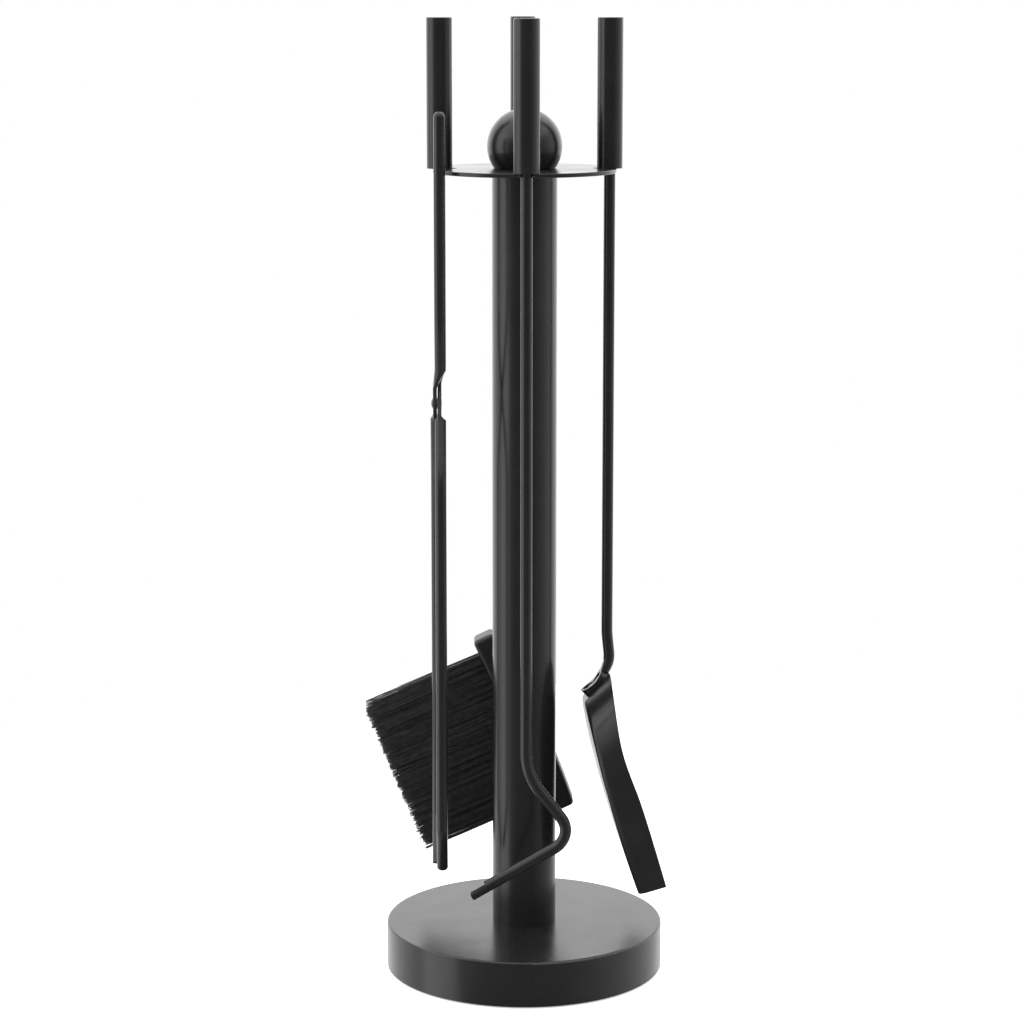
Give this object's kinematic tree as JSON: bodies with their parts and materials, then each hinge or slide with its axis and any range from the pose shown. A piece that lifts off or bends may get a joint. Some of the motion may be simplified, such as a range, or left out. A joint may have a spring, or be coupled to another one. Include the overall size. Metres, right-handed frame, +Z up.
{
  "type": "fireplace tool set",
  "caption": "Round weighted stand with a column and a slotted disc that holds a poker, a shovel, a brush and tongs by their handles.",
  "frame": {"origin": "centre of the face that the stand rests on", "axes": "+Z up along the column; the poker hangs towards -Y, the shovel towards +X, the brush towards +Y, the tongs towards -X"},
  "size_m": [0.1931, 0.175, 0.598],
  "materials": {
    "black_powder_coat": "satin black powder coat",
    "black_brush_block": "satin moulded plastic",
    "black_bristle": "straight plastic filaments",
    "black_screw": "blackened steel",
    "black_rubber": "matt",
    "concrete": "cast concrete",
    "zinc_steel": "zinc plated",
    "plain_steel": "turned steel"
  },
  "bodies": {
    "stand": {"base_shell": "black_powder_coat", "base_ballast": "concrete", "base_pad": "black_rubber", "base_washer": "zinc_steel", "base_bolt": "zinc_steel", "column_tube": "black_powder_coat", "column_bottom_plug": "plain_steel", "column_top_plug": "plain_steel", "hanger_disc": "black_powder_coat", "finial_stud": "zinc_steel", "ball_finial": "black_powder_coat"},
    "poker": {"poker_rod": "black_powder_coat", "poker_handle_tube": "black_powder_coat", "poker_handle_cap": "black_powder_coat", "poker_handle_bush": "plain_steel"},
    "shovel": {"shovel_rod": "black_powder_coat", "shovel_pan": "black_powder_coat", "shovel_rivets": "black_powder_coat", "shovel_handle_tube": "black_powder_coat", "shovel_handle_cap": "black_powder_coat", "shovel_handle_bush": "plain_steel"},
    "brush": {"brush_rod": "black_powder_coat", "brush_head": "black_brush_block", "brush_screw": "black_screw", "brush_bristles": "black_bristle", "brush_handle_tube": "black_powder_coat", "brush_handle_cap": "black_powder_coat", "brush_handle_bush": "plain_steel"},
    "tongs": {"tongs_handle_arm": "black_powder_coat", "tongs_rivet": "black_powder_coat", "tongs_washer": "plain_steel", "tongs_handle_tube": "black_powder_coat", "tongs_handle_cap": "black_powder_coat", "tongs_handle_bush": "plain_steel"},
    "tongs_free_arm": {"tongs_free_arm": "black_powder_coat"}
  },
  "joints": [
    {"name": "poker_lift_off", "type": "slide", "parent": "stand", "child": "poker", "axis": [0, -0.7071, 0.7071], "range_m": [0, 0.18]},
    {"name": "shovel_lift_off", "type": "slide", "parent": "stand", "child": "shovel", "axis": [0.7071, 0, 0.7071], "range_m": [0, 0.18]},
    {"name": "brush_lift_off", "type": "slide", "parent": "stand", "child": "brush", "axis": [0, 0.7071, 0.7071], "range_m": [0, 0.18]},
    {"name": "tongs_lift_off", "type": "slide", "parent": "stand", "child": "tongs", "axis": [-0.7071, 0, 0.7071], "range_m": [0, 0.18]},
    {"name": "tongs_pivot", "type": "hinge", "parent": "tongs", "child": "tongs_free_arm", "pos_m": [-0.054, -0.014, 0.364], "axis": [1, 0, 0], "range_deg": [0, 6]}
  ]
}
